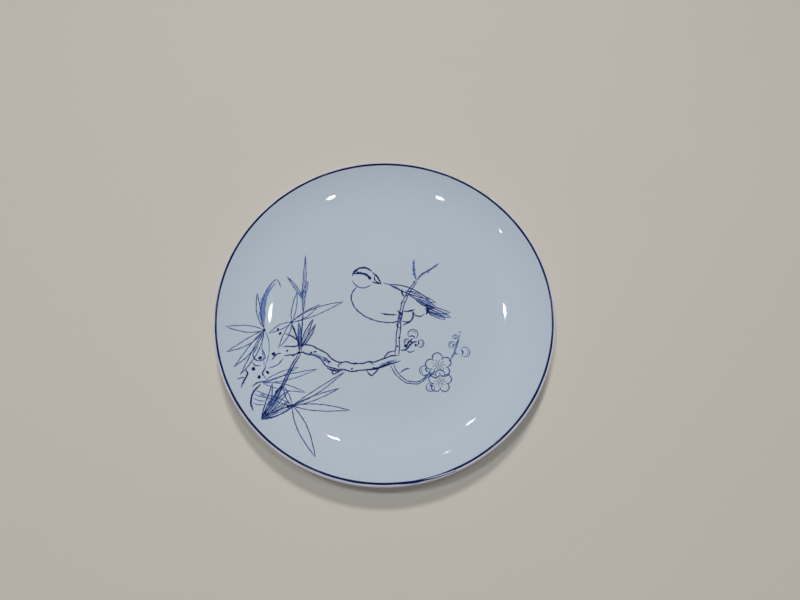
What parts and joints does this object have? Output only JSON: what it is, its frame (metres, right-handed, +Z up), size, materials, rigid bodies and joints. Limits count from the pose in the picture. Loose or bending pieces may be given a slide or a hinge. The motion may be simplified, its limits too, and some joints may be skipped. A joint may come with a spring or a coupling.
{
  "type": "dinner plate",
  "caption": "Round coupe dinner plate in glazed porcelain with a foot ring, a blue line on the lip and a blue bird, bamboo and blossom line pattern.",
  "frame": {"origin": "centre of the foot ring's contact plane, where the plate stands on a table", "axes": "+Z up along the plate's axis of turning; +Y towards the top of the pattern; +X to the pattern's right"},
  "size_m": [0.267, 0.267, 0.0261],
  "materials": {
    "bare_porcelain": "matt unglazed biscuit, only bare on the foot's contact ring",
    "clear_glaze": "high gloss, cool bluish white",
    "cobalt_blue": "cobalt colour fired into gloss"
  },
  "bodies": {
    "root": {"porcelain_body": "bare_porcelain", "face_glaze": "clear_glaze", "base_glaze": "clear_glaze", "rim_line": "cobalt_blue", "bird": "cobalt_blue", "perch_twig": "cobalt_blue", "old_branch": "cobalt_blue", "blossom_spray": "cobalt_blue", "bud_sprigs": "cobalt_blue", "bamboo_upper": "cobalt_blue", "curled_leaves": "cobalt_blue", "rock_and_root": "cobalt_blue", "bamboo_lower": "cobalt_blue"}
  },
  "joints": []
}
